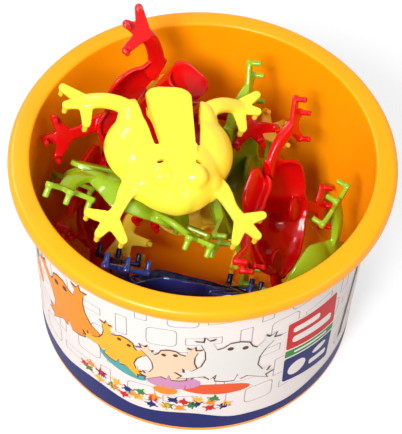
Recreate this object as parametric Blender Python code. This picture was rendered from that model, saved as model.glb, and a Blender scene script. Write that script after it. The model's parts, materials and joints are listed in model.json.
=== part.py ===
"""A tub of jumping frogs: a round tub with a wrapped label, filled with loose moulded frogs.

Units are metres and +Z is up. The origin is the centre of the tub's base, and the side that
carries the label's panel faces -Y. Each frog is one moulding: a domed shell open beneath, four
flat legs with pegged toes, and a sprung tail that hinges at its root between two slits.
"""

import math

import bmesh
import bpy
import numpy as np
from mathutils import Euler, Matrix, Vector
from mathutils.bvhtree import BVHTree

# Tub
TUB_HEIGHT = 0.1005
BASE_RADIUS = 0.0660
TOP_RADIUS = 0.0680
TUB_WALL = 0.0016
FLOOR_THICKNESS = 0.0018
FOOT_RING_WIDTH = 0.0040
FOOT_RING_HEIGHT = 0.0014
BASE_ROUND = 0.0012
RIM_OVERHANG = 0.0070
RIM_THICKNESS = 0.0019
RIM_SKIRT = 0.0036
RIM_SKIRT_WALL = 0.0016
RIM_EDGE_ROUND = 0.0016
RIM_INNER_ROUND = 0.0012
TURN_SEGMENTS = 48
RIM_RADIUS = TOP_RADIUS + RIM_OVERHANG

# Label, seated in a shallow recess of the wall
LABEL_THICKNESS = 0.00035
LABEL_GAP = 0.0003
LABEL_BASE_BAND = 0.0026
LABEL_TOP_BAND = 0.0030
LABEL_SEAM = 0.0010

# Frog shell; its nose points to -Y and its pegs stand at height zero
SHELL_HALF_WIDTH = 0.0252
SHELL_HALF_LENGTH = 0.0260
SHELL_HEIGHT = 0.0158
SHELL_EDGE_LEVEL = 0.0044
SHELL_REAR_LEVEL = 0.0118
SHELL_WALL = 0.0016
SHELL_APEX_Y = -0.0010
SHELL_SPOKES = 20
# Outline of the shell's right half, nose first, as shares of its half width and half length
SHELL_OUTLINE_SHARES = (
    (0.00, -1.00),
    (0.30, -0.98),
    (0.50, -0.86),
    (0.62, -0.64),
    (0.84, -0.38),
    (0.98, -0.10),
    (0.99, 0.25),
    (0.90, 0.56),
    (0.74, 0.80),
    (0.56, 0.94),
    (0.34, 1.04),
    (0.00, 1.06),
)
# Rings of the dome, from its apex out, as shares of the way to the edge
SHELL_RING_SHARES = (0.52, 0.87, 1.00)
FLANK_POWER_SHARE = 2.5
REAR_POWER_SHARE = 1.7
# Where along the half length the open rear begins and where it is reached, as shares
REAR_START_SHARE = 0.35
REAR_FULL_SHARE = 0.90

# Sprung tail between its two slits
TAIL_ROOT_Y = 0.0005
TAIL_OVERHANG = 0.0012
TAIL_ROOT_HALF_WIDTH = 0.0067
TAIL_END_HALF_WIDTH = 0.0090
TAIL_CORNER_ROUND = 0.0045
SLIT_WIDTH = 0.0023
TAIL_END_Y = SHELL_HALF_LENGTH + TAIL_OVERHANG
HINGE_GAP = 0.0003
TAIL_DOWN_DEG = 22.0
TAIL_UP_DEG = 5.0

# Eyes, seated on the shell
EYE_RADIUS = 0.0043
EYE_HEIGHT = 0.0036
EYE_HALF_SPREAD = 0.0076
EYE_Y = -0.0125
EYE_SEAT_DEPTH = 0.0008
EYE_SIDES = 6
# Rings of an eye, as shares of the way from its foot to its top
EYE_RING_SHARES = (0.00, 0.60)

# Legs, feet and toe pegs
LEG_THICKNESS = 0.0016
FOOT_LEVEL = 0.0040
TOE_WIDTH = 0.0033
PEG_RADIUS = 0.0011
PEG_SIDES = 4
# Hind leg: plan places of its stations, measured out from the shell's half width and from its rear
# end, and the turn and reach of each toe from the foot's middle
HIND_ROOT_OFFSET = (-0.0092, -0.0045)
HIND_ROOT_LEVEL = 0.0100
HIND_BEND_OFFSET = (-0.0017, 0.0030)
HIND_FOOT_OFFSET = (0.0053, -0.0002)
HIND_ROOT_WIDTH = 0.0050
HIND_LEG_WIDTH = 0.0062
HIND_TOES = ((38.0, 0.0110), (-14.0, 0.0088), (-86.0, 0.0104))
# Front leg, measured out from the shell's half width and back from its nose
FRONT_ROOT_OFFSET = (-0.0077, 0.0140)
FRONT_ROOT_LEVEL = 0.0075
FRONT_BEND_OFFSET = (-0.0037, 0.0075)
FRONT_FOOT_OFFSET = (-0.0002, 0.0005)
FRONT_ROOT_WIDTH = 0.0078
FRONT_LEG_WIDTH = 0.0050
FRONT_TOES = ((20.0, 0.0092), (-48.0, 0.0084), (-115.0, 0.0096))
# How far along a toe the web between toes reaches, as a share
WEB_SHARE = 0.40

# Placing of the frogs
REST_GAP = 0.0003
SETTLE_STEP = 0.0003
SETTLE_FINE = 0.00003
TAIL_SWEEP_STEPS = 6
OVERRUN = 0.0100
MERGE_DISTANCE = 0.000001
SHARP_EDGE_DEG = 35.0
CURVE_STEPS = 12

COLOURS = {
    "yellow": (0.95, 0.86, 0.07),
    "red": (0.78, 0.01, 0.01),
    "green": (0.36, 0.58, 0.03),
    "blue": (0.02, 0.04, 0.19),
    "orange": (0.96, 0.52, 0.03),
    "paper": (0.90, 0.87, 0.85),
}

ROUGHNESS = {"frog": 0.25, "tub": 0.35, "label": 0.45}

# Frogs, lowest first. Each row is the name, the colour, the place of the frog's middle as shares of
# the tub's inner radius, across and along, and of its height, and the turns about X, Y and Z in
# degrees. Each frog is then let down until it touches the tub or another frog.
FROG_TABLE = (
    ("frog_01", "yellow", (-0.17, -0.34, 0.22), (175.0, -37.0, -94.0)),
    ("frog_02", "red", (-0.67, 0.35, 0.37), (98.0, 2.0, -113.0)),
    ("frog_03", "green", (0.69, -0.34, 0.38), (146.0, 78.0, 116.0)),
    ("frog_04", "yellow", (-0.05, 0.51, 0.43), (158.0, 38.0, -101.0)),
    ("frog_05", "green", (0.17, 0.22, 0.63), (101.0, 11.0, -98.0)),
    ("frog_06", "red", (0.44, 0.00, 0.64), (107.0, 7.0, -106.0)),
    ("frog_07", "blue", (-0.11, -0.64, 0.64), (163.0, -52.0, -81.0)),
    ("frog_08", "green", (-0.39, -0.16, 0.87), (23.0, 49.0, 96.0)),
    ("frog_09", "red", (-0.34, 0.43, 0.85), (130.0, -41.0, 166.0)),
    ("frog_10", "yellow", (-0.17, -0.15, 1.12), (8.0, 11.0, 11.0)),
)


def clear_scene():
    """Remove the start-up objects."""
    for item in list(bpy.data.objects):
        bpy.data.objects.remove(item, do_unlink=True)


def material(name, colour, roughness):
    """A plain plastic or paper material."""
    made = bpy.data.materials.new(name)
    made.use_nodes = True
    shader = made.node_tree.nodes["Principled BSDF"]
    shader.inputs["Base Color"].default_value = (*colour, 1.0)
    shader.inputs["Roughness"].default_value = roughness
    shader.inputs["Metallic"].default_value = 0.0
    return made


def add_object(name, mesh, made=None):
    """Link a mesh into the scene as one named object."""
    item = bpy.data.objects.new(name, mesh)
    bpy.context.scene.collection.objects.link(item)
    if made:
        item.data.materials.clear()
        item.data.materials.append(made)
    return item


def evaluated_mesh(item, name):
    """The mesh of an object with its modifiers worked in."""
    graph = bpy.context.evaluated_depsgraph_get()
    mesh = bpy.data.meshes.new_from_object(item.evaluated_get(graph))
    mesh.name = name
    return mesh


def full_turn():
    """Directions of a whole turn, starting at the back."""
    return [90.0 + 360.0 * step / TURN_SEGMENTS for step in range(TURN_SEGMENTS)]


def revolve(name, profile, angles_deg, closed=True):
    """Turn a closed profile of (radius, height) points about Z into one closed body."""
    shape = bmesh.new()
    rings = []
    for angle_deg in angles_deg:
        angle = math.radians(angle_deg)
        direction = Vector((math.cos(angle), math.sin(angle), 0.0))
        ring = []
        for radius, height in profile:
            point = direction * radius + Vector((0.0, 0.0, height))
            ring.append(shape.verts.new(point))
        rings.append(ring)
    count = len(profile)
    pairs = list(zip(rings, rings[1:]))
    if closed:
        pairs.append((rings[-1], rings[0]))
    for left, right in pairs:
        for row in range(count):
            following = (row + 1) % count
            shape.faces.new((left[row], right[row], right[following], left[following]))
    if not closed:
        shape.faces.new(reversed(rings[0]))
        shape.faces.new(rings[-1])
    bmesh.ops.remove_doubles(shape, verts=shape.verts, dist=MERGE_DISTANCE)
    bmesh.ops.recalc_face_normals(shape, faces=shape.faces)
    return finish_mesh(shape, name)


def finish_mesh(shape, name):
    """Turn a bmesh into a smooth-shaded mesh."""
    mesh = bpy.data.meshes.new(name)
    shape.to_mesh(mesh)
    shape.free()
    mesh.shade_smooth()
    mesh.set_sharp_from_angle(angle=math.radians(SHARP_EDGE_DEG))
    return mesh


def wall_radius(height):
    """Outer radius of the labelled wall at a height."""
    return BASE_RADIUS + (TOP_RADIUS - BASE_RADIUS) * height / TUB_HEIGHT


def inner_radius(height):
    """Radius of the tub's inner wall at a height."""
    return wall_radius(height) - LABEL_THICKNESS - LABEL_GAP - TUB_WALL


def quarter(centre, radius, start_deg, end_deg, steps=2):
    """Points of a round corner from one direction to another."""
    points = []
    for step in range(steps + 1):
        angle = math.radians(start_deg + (end_deg - start_deg) * step / steps)
        points.append((centre[0] + radius * math.cos(angle), centre[1] + radius * math.sin(angle)))
    return points


def tub_profile():
    """Closed profile of the tub's wall, from the axis along the underside, up and back inside."""
    recess = LABEL_THICKNESS + LABEL_GAP
    label_low = LABEL_BASE_BAND
    label_high = TUB_HEIGHT - RIM_THICKNESS - LABEL_TOP_BAND
    ring_outer = BASE_RADIUS - BASE_ROUND
    ring_inner = ring_outer - FOOT_RING_WIDTH
    under_rim = TUB_HEIGHT - RIM_THICKNESS
    skirt_low = TUB_HEIGHT - RIM_SKIRT
    skirt_inner = RIM_RADIUS - RIM_SKIRT_WALL
    inner_low = FOOT_RING_HEIGHT + FLOOR_THICKNESS
    points = [(0.0, FOOT_RING_HEIGHT), (ring_inner - FOOT_RING_HEIGHT, FOOT_RING_HEIGHT)]
    points += [(ring_inner, 0.0)]
    points += quarter((ring_outer, BASE_ROUND), BASE_ROUND, -90.0, 0.0)
    points += [(wall_radius(label_low), label_low), (wall_radius(label_low) - recess, label_low)]
    points += [(wall_radius(label_high) - recess, label_high), (wall_radius(label_high), label_high)]
    points += [(wall_radius(under_rim), under_rim), (skirt_inner, under_rim)]
    points += [(skirt_inner, skirt_low), (RIM_RADIUS - RIM_EDGE_ROUND / 2, skirt_low)]
    points += quarter(
        (RIM_RADIUS - RIM_EDGE_ROUND, TUB_HEIGHT - RIM_EDGE_ROUND), RIM_EDGE_ROUND, 0.0, 90.0
    )
    inner_top = inner_radius(TUB_HEIGHT)
    points += quarter(
        (inner_top + RIM_INNER_ROUND, TUB_HEIGHT - RIM_INNER_ROUND), RIM_INNER_ROUND, 90.0, 180.0
    )
    inner_round = FLOOR_THICKNESS
    corner = (inner_radius(inner_low) - inner_round, inner_low + inner_round)
    points += quarter(corner, inner_round, 0.0, -90.0)
    points += [(0.0, inner_low)]
    return points


def label_profile():
    """Closed profile of the label, standing off the recess by its gap."""
    low = LABEL_BASE_BAND + LABEL_GAP
    high = TUB_HEIGHT - RIM_THICKNESS - LABEL_TOP_BAND - LABEL_GAP
    return [
        (wall_radius(low) - LABEL_THICKNESS, low),
        (wall_radius(low), low),
        (wall_radius(high), high),
        (wall_radius(high) - LABEL_THICKNESS, high),
    ]


def smooth_curve(points, samples):
    """Even samples along a smooth curve through open points (Catmull-Rom)."""
    padded = [2 * points[0] - points[1], *points, 2 * points[-1] - points[-2]]
    dense = []
    for index in range(1, len(padded) - 2):
        before, start, end, after = padded[index - 1 : index + 3]
        for step in range(CURVE_STEPS):
            t = step / CURVE_STEPS
            spread = (2 * start) + (end - before) * t
            spread += (2 * before - 5 * start + 4 * end - after) * t**2
            spread += (3 * start - before - 3 * end + after) * t**3
            dense.append(spread / 2)
    dense.append(points[-1])
    dense = np.array(dense)
    lengths = np.concatenate([[0.0], np.cumsum(np.linalg.norm(np.diff(dense, axis=0), axis=1))])
    wanted = np.linspace(0.0, lengths[-1], samples)
    return [np.array([np.interp(at, lengths, dense[:, axis]) for axis in (0, 1)]) for at in wanted]


def shell_outline():
    """The shell's whole outline in plan, counter-clockwise from the nose."""
    scale = np.array([SHELL_HALF_WIDTH, SHELL_HALF_LENGTH])
    half = [np.array(share) * scale for share in SHELL_OUTLINE_SHARES]
    samples = smooth_curve(half, SHELL_SPOKES // 2 + 1)
    samples[0][0] = 0.0
    samples[-1][0] = 0.0
    mirrored = [point * np.array([-1.0, 1.0]) for point in samples[-2:0:-1]]
    return samples + mirrored


def rear_share(point):
    """How far an outline point belongs to the open rear: 0 at the flanks and 1 at the tail."""
    along = point[1] / SHELL_HALF_LENGTH
    share = (along - REAR_START_SHARE) / (REAR_FULL_SHARE - REAR_START_SHARE)
    return min(1.0, max(0.0, share))


def shell_mesh():
    """The domed shell as one closed body, before the tail is cut out of it."""
    top = SHELL_EDGE_LEVEL + SHELL_HEIGHT
    shape = bmesh.new()
    apex = shape.verts.new((0.0, SHELL_APEX_Y, top))
    outline = shell_outline()
    rings = []
    for ring_share in SHELL_RING_SHARES:
        ring = []
        for point in outline:
            rear = rear_share(point)
            edge = SHELL_EDGE_LEVEL + (SHELL_REAR_LEVEL - SHELL_EDGE_LEVEL) * rear
            flank = math.sqrt(1.0 - ring_share**FLANK_POWER_SHARE)
            slope = 1.0 - ring_share**REAR_POWER_SHARE
            height = edge + (top - edge) * ((1.0 - rear) * flank + rear * slope)
            x = point[0] * ring_share
            y = SHELL_APEX_Y + (point[1] - SHELL_APEX_Y) * ring_share
            ring.append(shape.verts.new((x, y, height)))
        rings.append(ring)
    count = len(outline)
    for index in range(count):
        following = (index + 1) % count
        shape.faces.new((apex, rings[0][index], rings[0][following]))
        for inner, outer in zip(rings, rings[1:]):
            shape.faces.new((inner[index], outer[index], outer[following], inner[following]))
    bmesh.ops.recalc_face_normals(shape, faces=shape.faces)
    skin = add_object("shell_skin", finish_mesh(shape, "shell_skin"))
    if skin.data.polygons[0].normal.z < 0:
        skin.data.flip_normals()
    wall = skin.modifiers.new("wall", "SOLIDIFY")
    wall.thickness = SHELL_WALL
    wall.offset = -1.0
    wall.use_even_offset = False
    solid = evaluated_mesh(skin, "shell")
    bpy.data.objects.remove(skin)
    return solid


def prism(name, outline, low, high):
    """An upright prism over a plan outline."""
    shape = bmesh.new()
    base = [shape.verts.new((x, y, low)) for x, y in outline]
    face = shape.faces.new(base)
    grown = bmesh.ops.extrude_face_region(shape, geom=[face])
    lifted = [part for part in grown["geom"] if isinstance(part, bmesh.types.BMVert)]
    bmesh.ops.translate(shape, verts=lifted, vec=(0.0, 0.0, high - low))
    bmesh.ops.recalc_face_normals(shape, faces=shape.faces)
    return finish_mesh(shape, name)


def tail_outline():
    """Plan of the tail, from its root's left corner round the end to its root's right corner."""
    root_y = TAIL_ROOT_Y + HINGE_GAP
    round_centre_x = TAIL_END_HALF_WIDTH - TAIL_CORNER_ROUND
    round_centre_y = TAIL_END_Y - TAIL_CORNER_ROUND
    right = quarter((round_centre_x, round_centre_y), TAIL_CORNER_ROUND, 0.0, 90.0, steps=3)
    left = [(-x, y) for x, y in reversed(right)]
    return [(-TAIL_ROOT_HALF_WIDTH, root_y), (TAIL_ROOT_HALF_WIDTH, root_y), *right, *left]


def tail_slot_outline():
    """Plan of what is cut from the shell: both slits, the tail between them and the way out."""
    far = TAIL_END_Y + OVERRUN
    slit_round = SLIT_WIDTH / 2
    growth = (TAIL_END_HALF_WIDTH - TAIL_ROOT_HALF_WIDTH) / (TAIL_END_Y - TAIL_ROOT_Y)
    rear_half = TAIL_END_HALF_WIDTH + SLIT_WIDTH + growth * OVERRUN
    centre = (TAIL_ROOT_HALF_WIDTH + slit_round, TAIL_ROOT_Y)
    right = quarter(centre, slit_round, -180.0, 0.0, steps=4)
    left = [(-x, y) for x, y in reversed(right)]
    return [*left, *right, (rear_half, far), (-rear_half, far)]


def unit(angle_deg):
    """Plan direction at an angle from +X."""
    angle = math.radians(angle_deg)
    return np.array([math.cos(angle), math.sin(angle)])


def leg_outline(root, bend, foot, root_width, leg_width, toes):
    """Plan of one right leg: a strip from the root over a bend to a three-toed foot."""
    root, bend, foot = (np.array(point) for point in (root, bend, foot))
    first = (bend - root) / np.linalg.norm(bend - root)
    second = (foot - bend) / np.linalg.norm(foot - bend)
    middle = (first + second) / np.linalg.norm(first + second)
    left_edge = []
    right_edge = []
    for place, along, width in ((root, first, root_width), (bend, middle, leg_width)):
        across = np.array([-along[1], along[0]]) * width / 2
        left_edge.append(place + across)
        right_edge.append(place - across)
    toe_edge = []
    for turn, reach in toes:
        ahead = unit(turn)
        across = np.array([-ahead[1], ahead[0]]) * TOE_WIDTH / 2
        tip = foot + ahead * (reach - TOE_WIDTH / 2)
        web = foot + ahead * reach * WEB_SHARE
        toe_edge.append(web + across)
        for swing in (90.0, 0.0, -90.0):
            toe_edge.append(tip + unit(turn + swing) * TOE_WIDTH / 2)
        toe_edge.append(web - across)
    return left_edge + toe_edge + right_edge[::-1]


def toe_tips(foot, toes):
    """Centres of the pegs under the toes of one right foot."""
    return [np.array(foot) + unit(turn) * (reach - TOE_WIDTH / 2) for turn, reach in toes]


def leg_mesh(name, root_level, root, bend, foot, root_width, leg_width, toes):
    """One right leg plate, sloping from its root down to the level of its foot."""
    outline = leg_outline(root, bend, foot, root_width, leg_width, toes)
    plate = prism(name, outline, FOOT_LEVEL, FOOT_LEVEL + LEG_THICKNESS)
    reach = np.linalg.norm(np.array(bend) - np.array(root))
    for vertex in plate.vertices:
        away = np.linalg.norm(np.array(vertex.co[:2]) - np.array(root))
        share = max(0.0, 1.0 - away / reach)
        vertex.co.z += (root_level - FOOT_LEVEL) * share
    return plate


def peg_mesh(centre):
    """One toe peg, from the ground into the plate."""
    outline = [centre + unit(360.0 * side / PEG_SIDES) * PEG_RADIUS for side in range(PEG_SIDES)]
    return prism("peg", outline, 0.0, FOOT_LEVEL + LEG_THICKNESS / 2)


def eye_mesh(shell):
    """The right eye, a low dome standing square on the shell."""
    points, corners = triangles(shell)
    above = Vector((EYE_HALF_SPREAD, EYE_Y, SHELL_EDGE_LEVEL + SHELL_HEIGHT + OVERRUN))
    seat, normal, _, _ = tree(points, corners).ray_cast(above, Vector((0.0, 0.0, -1.0)))
    profile = [(0.0, -EYE_SEAT_DEPTH), (EYE_RADIUS, -EYE_SEAT_DEPTH)]
    for share in EYE_RING_SHARES:
        angle = share * math.pi / 2
        profile.append((EYE_RADIUS * math.cos(angle), EYE_HEIGHT * math.sin(angle)))
    profile.append((0.0, EYE_HEIGHT))
    eye = revolve("eye", profile, [360.0 * side / EYE_SIDES for side in range(EYE_SIDES)])
    up = (normal + Vector((0.0, 0.0, 1.0))).normalized()
    eye.transform(Matrix.Translation(seat) @ up.to_track_quat("Z", "Y").to_matrix().to_4x4())
    return eye


def mirrored(mesh):
    """A copy of a mesh reflected to the other side, still facing out."""
    other = mesh.copy()
    for vertex in other.vertices:
        vertex.co.x = -vertex.co.x
    other.flip_normals()
    return other


def combine(base, other_mesh, operation):
    """Apply one exact Boolean to an object."""
    other = add_object("operand", other_mesh)
    other.hide_render = True
    other.display_type = "WIRE"
    step = base.modifiers.new(operation.lower(), "BOOLEAN")
    step.operation = operation
    step.object = other
    step.solver = "EXACT"
    result = evaluated_mesh(base, base.data.name)
    base.modifiers.clear()
    base.data = result
    bpy.data.objects.remove(other)


def station(offset, end_y):
    """Plan place of a leg's station, from the shell's half width and one of its ends."""
    return SHELL_HALF_WIDTH + offset[0], end_y + offset[1]


def frog_meshes():
    """The frog's body and its tail as two closed meshes in the frog's own frame."""
    low = -OVERRUN
    high = SHELL_EDGE_LEVEL + SHELL_HEIGHT + OVERRUN
    shell = shell_mesh()
    tail = add_object("tail", shell.copy())
    combine(tail, prism("tail_outline", tail_outline(), low, high), "INTERSECT")
    body = add_object("body", shell)
    hind_offsets = (HIND_ROOT_OFFSET, HIND_BEND_OFFSET, HIND_FOOT_OFFSET)
    front_offsets = (FRONT_ROOT_OFFSET, FRONT_BEND_OFFSET, FRONT_FOOT_OFFSET)
    hind_places = [station(offset, SHELL_HALF_LENGTH) for offset in hind_offsets]
    front_places = [station(offset, -SHELL_HALF_LENGTH) for offset in front_offsets]
    hind = (*hind_places, HIND_ROOT_WIDTH, HIND_LEG_WIDTH, HIND_TOES)
    front = (*front_places, FRONT_ROOT_WIDTH, FRONT_LEG_WIDTH, FRONT_TOES)
    pieces = [eye_mesh(shell)]
    pieces.append(leg_mesh("hind_leg", HIND_ROOT_LEVEL, *hind))
    pieces.append(leg_mesh("front_leg", FRONT_ROOT_LEVEL, *front))
    for foot, toes in ((hind_places[-1], HIND_TOES), (front_places[-1], FRONT_TOES)):
        pieces += [peg_mesh(tip) for tip in toe_tips(foot, toes)]
    for piece in pieces:
        combine(body, mirrored(piece), "UNION")
        combine(body, piece, "UNION")
    combine(body, prism("tail_slot", tail_slot_outline(), low, high), "DIFFERENCE")
    meshes = (body.data, tail.data)
    for item in (body, tail):
        bpy.data.objects.remove(item)
    for mesh in meshes:
        mesh.shade_smooth()
        mesh.set_sharp_from_angle(angle=math.radians(SHARP_EDGE_DEG))
    return meshes


def hinge_point(tail_mesh):
    """The tail's hinge: the middle of the underside of its root."""
    root_y = TAIL_ROOT_Y + HINGE_GAP
    near = [v.co.z for v in tail_mesh.vertices if v.co.y < root_y + HINGE_GAP]
    return Vector((0.0, root_y, min(near)))


def triangles(mesh):
    """Vertices and triangles of a mesh as arrays."""
    mesh.calc_loop_triangles()
    points = np.array([v.co[:] for v in mesh.vertices])
    corners = [tuple(t.vertices) for t in mesh.loop_triangles]
    return points, corners


def grown(mesh, distance):
    """Triangles of a mesh with its surface moved out by a distance."""
    points, corners = triangles(mesh)
    normals = np.array([v.normal[:] for v in mesh.vertices])
    return points + normals * distance, corners


def moved(points, matrix):
    """Points under a matrix."""
    turn = np.array(matrix.to_3x3())
    return points @ turn.T + np.array(matrix.translation)


def shifted(soup, offset):
    """Triangles moved by an offset."""
    return soup[0] + np.array(offset), soup[1]


def joined(soups):
    """Several sets of triangles as one."""
    points = []
    corners = []
    for part_points, part_corners in soups:
        offset = sum(len(p) for p in points)
        points.append(part_points)
        corners += [tuple(index + offset for index in corner) for corner in part_corners]
    return np.vstack(points), corners


def tree(points, corners):
    """A search tree over triangles."""
    return BVHTree.FromPolygons(points.tolist(), corners)


def swept_frog(body_soup, tail_soup, hinge):
    """The body with its tail at steps across the tail's range."""
    soups = [body_soup]
    for step in range(TAIL_SWEEP_STEPS + 1):
        angle = -TAIL_DOWN_DEG + (TAIL_DOWN_DEG + TAIL_UP_DEG) * step / TAIL_SWEEP_STEPS
        turn = Matrix.Translation(hinge) @ Matrix.Rotation(math.radians(angle), 4, "X")
        turn = turn @ Matrix.Translation(-hinge)
        soups.append((moved(tail_soup[0], turn), tail_soup[1]))
    return joined(soups)


def turn_matrix(turns_deg):
    """Rotation of a frog from its turns about X, Y and Z."""
    return Euler([math.radians(turn) for turn in turns_deg], "XYZ").to_matrix().to_4x4()


def blocked(skin, drop, trees):
    """Whether a frog let down by a distance meets a neighbour."""
    lowered = tree(*shifted(skin, (0.0, 0.0, -drop)))
    return any(lowered.overlap(other) for other in trees)


def rest_drop(skin, trees):
    """How far a frog sinks before it touches a neighbour."""
    touch = SETTLE_STEP
    while not blocked(skin, touch, trees):
        touch += SETTLE_STEP
    clear = touch - SETTLE_STEP
    while touch - clear > SETTLE_FINE:
        middle = (clear + touch) / 2
        if blocked(skin, middle, trees):
            touch = middle
        else:
            clear = middle
    return clear


def raised(place, solid, trees):
    """A place, raised by steps until a frog there meets nothing that is already seated."""
    rise = 0.0
    soup = (moved(solid[0], place), solid[1])
    while blocked(soup, -rise, trees):
        rise += SETTLE_STEP
    return Matrix.Translation((0.0, 0.0, rise)) @ place


def rest_places(skin, solid, tub_mesh):
    """Place of every frog of the table, let down one by one until it touches."""
    room = inner_radius(FOOT_RING_HEIGHT + FLOOR_THICKNESS)
    middle = Vector((0.0, 0.0, SHELL_EDGE_LEVEL + SHELL_HEIGHT / 2))
    places = []
    for _, _, (across, along, height), turns_deg in FROG_TABLE:
        turn = turn_matrix(turns_deg) @ Matrix.Translation(-middle)
        places.append(Matrix.Translation((across * room, along * room, height * TUB_HEIGHT)) @ turn)
    seated = [tree(*triangles(tub_mesh))]
    for index, start in enumerate(places):
        place = raised(start, solid, seated)
        body = (moved(solid[0], place), solid[1])
        waiting = [tree(moved(solid[0], other), solid[1]) for other in places[index + 1 :]]
        trees = seated + [other for other in waiting if not blocked(body, 0.0, [other])]
        drop = rest_drop((moved(skin[0], place), skin[1]), trees)
        places[index] = Matrix.Translation((0.0, 0.0, -drop)) @ place
        seated.append(tree(moved(solid[0], places[index]), solid[1]))
    return places


def place_frogs(tub_mesh):
    """Seat every frog of the table in the heap and make its two objects."""
    body_mesh, tail_mesh = frog_meshes()
    hinge = hinge_point(tail_mesh)
    tail_mesh.transform(Matrix.Translation(-hinge))
    skin = swept_frog(grown(body_mesh, REST_GAP), shifted(grown(tail_mesh, REST_GAP), hinge), hinge)
    solid = swept_frog(triangles(body_mesh), shifted(triangles(tail_mesh), hinge), hinge)
    places = rest_places(skin, solid, tub_mesh)
    for (name, colour, _, _), place in zip(FROG_TABLE, places):
        body = add_object(name + "_body", body_mesh.copy())
        tail = add_object(name + "_tail", tail_mesh.copy())
        for item in (body, tail):
            item.data.materials.clear()
            item.data.materials.append(material(item.name, COLOURS[colour], ROUGHNESS["frog"]))
        body.matrix_world = place
        tail.matrix_world = place @ Matrix.Translation(hinge)


def label_angles():
    """Directions of the label's columns: the tub's own, stopping short at the seam."""
    half_seam = math.degrees(LABEL_SEAM / BASE_RADIUS) / 2
    return [90.0 + half_seam, *full_turn()[1:], 90.0 + 360.0 - half_seam]


def main():
    """Build the tub, its label and the frogs."""
    clear_scene()
    tub = revolve("tub", tub_profile(), full_turn())
    add_object("tub", tub, material("tub", COLOURS["orange"], ROUGHNESS["tub"]))
    label = revolve("label_wrap", label_profile(), label_angles(), closed=False)
    add_object("label_wrap", label, material("label_wrap", COLOURS["paper"], ROUGHNESS["label"]))
    place_frogs(tub)


main()
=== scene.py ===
# %% [markdown]
# # A tub of jumping frogs
# The toy is a round tub with a broad rim and a printed label, filled with loose moulded frogs.
# This lesson lays its finished looks over a fixed frame: the frame says where each piece is and
# what moves, and the cells below model the fine surfaces and give them their plastics.

import json
import math

import bpy
from mathutils import Matrix, Vector

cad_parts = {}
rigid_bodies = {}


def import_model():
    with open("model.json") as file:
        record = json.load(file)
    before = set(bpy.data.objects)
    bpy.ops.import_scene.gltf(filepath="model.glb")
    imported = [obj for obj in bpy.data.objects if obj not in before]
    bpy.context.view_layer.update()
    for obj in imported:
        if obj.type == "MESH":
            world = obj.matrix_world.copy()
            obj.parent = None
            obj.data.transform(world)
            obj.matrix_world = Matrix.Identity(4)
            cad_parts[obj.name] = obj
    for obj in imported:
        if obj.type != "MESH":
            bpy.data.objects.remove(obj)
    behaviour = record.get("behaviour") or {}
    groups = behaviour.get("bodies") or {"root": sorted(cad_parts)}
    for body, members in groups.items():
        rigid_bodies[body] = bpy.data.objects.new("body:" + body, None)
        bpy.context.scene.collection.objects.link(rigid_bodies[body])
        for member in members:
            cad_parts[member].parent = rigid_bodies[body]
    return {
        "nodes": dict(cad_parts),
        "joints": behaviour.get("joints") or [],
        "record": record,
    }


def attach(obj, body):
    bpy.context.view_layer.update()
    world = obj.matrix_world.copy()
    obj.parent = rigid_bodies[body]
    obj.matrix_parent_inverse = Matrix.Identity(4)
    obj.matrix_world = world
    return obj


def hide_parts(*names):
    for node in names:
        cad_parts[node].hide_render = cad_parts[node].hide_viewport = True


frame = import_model()
bpy.ops.object.select_all(action="DESELECT")
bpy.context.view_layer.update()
MM = 0.001

# %% [markdown]
# ## Small helpers
# Every piece goes through the same few steps: pick it, change its mesh in edit mode, and apply a
# modifier at once. They are named here so that each later cell reads as a list of what is done.

# %% Helpers for picking, joining and applying


def pick(piece):
    """Make one object the only picked and the active one."""
    bpy.ops.object.select_all(action="DESELECT")
    piece.select_set(True)
    bpy.context.view_layer.objects.active = piece


def join(pieces, name):
    """Join objects into one mesh."""
    pick(pieces[0])
    for piece in pieces:
        piece.select_set(True)
    bpy.ops.object.join()
    pieces[0].name = name
    return pieces[0]


def apply_modifier(piece, kind, **settings):
    """Add one modifier and apply it at once."""
    pick(piece)
    step = piece.modifiers.new(kind.lower(), kind)
    for key, value in settings.items():
        setattr(step, key, value)
    bpy.ops.object.modifier_apply(modifier=step.name)


def settle(piece):
    """Put an object's place, turn and size into its mesh."""
    pick(piece)
    bpy.ops.object.transform_apply(location=True, rotation=True, scale=True)
    return piece


def smooth(piece, angle_deg):
    """Shade smooth and keep the edges sharper than an angle."""
    pick(piece)
    bpy.ops.object.shade_smooth_by_angle(angle=math.radians(angle_deg))


def add_object(name, data):
    """A new object in the scene."""
    made = bpy.data.objects.new(name, data)
    bpy.context.scene.collection.objects.link(made)
    return made


def wrap(piece):
    """Replace a mesh by the convex skin around it."""
    pick(piece)
    bpy.ops.object.mode_set(mode="EDIT")
    bpy.ops.mesh.select_all(action="SELECT")
    bpy.ops.mesh.convex_hull()
    bpy.ops.object.mode_set(mode="OBJECT")
    return piece


def cut(piece, tool, operation):
    """One exact Boolean, after which the tool is thrown away."""
    apply_modifier(piece, "BOOLEAN", object=tool, operation=operation, solver="EXACT")
    bpy.data.objects.remove(tool)


print("helpers ready")

# %% [markdown]
# ## Plastics
# All parts are coloured polypropylene: glossy, and a little soft under the surface, so that light
# fades into thin legs and edges instead of stopping dead. Colours are written as they are seen on a
# screen and turned into linear light by one function. Moulded plastic is never perfectly flat or
# even, so its tone flows by a hundredth or two, and a faint ripple in the gloss keeps long
# highlights from looking drawn with a ruler.

# %% Colour and material helpers
SHADES = {
    "yellow": "FFDE3C",
    "red": "CE080A",
    "green": "8CAC1A",
    "blue": "0F1D58",
    "tub": "FF9E04",
}
FROG_COLOURS = ("yellow", "red", "green", "blue")
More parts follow.
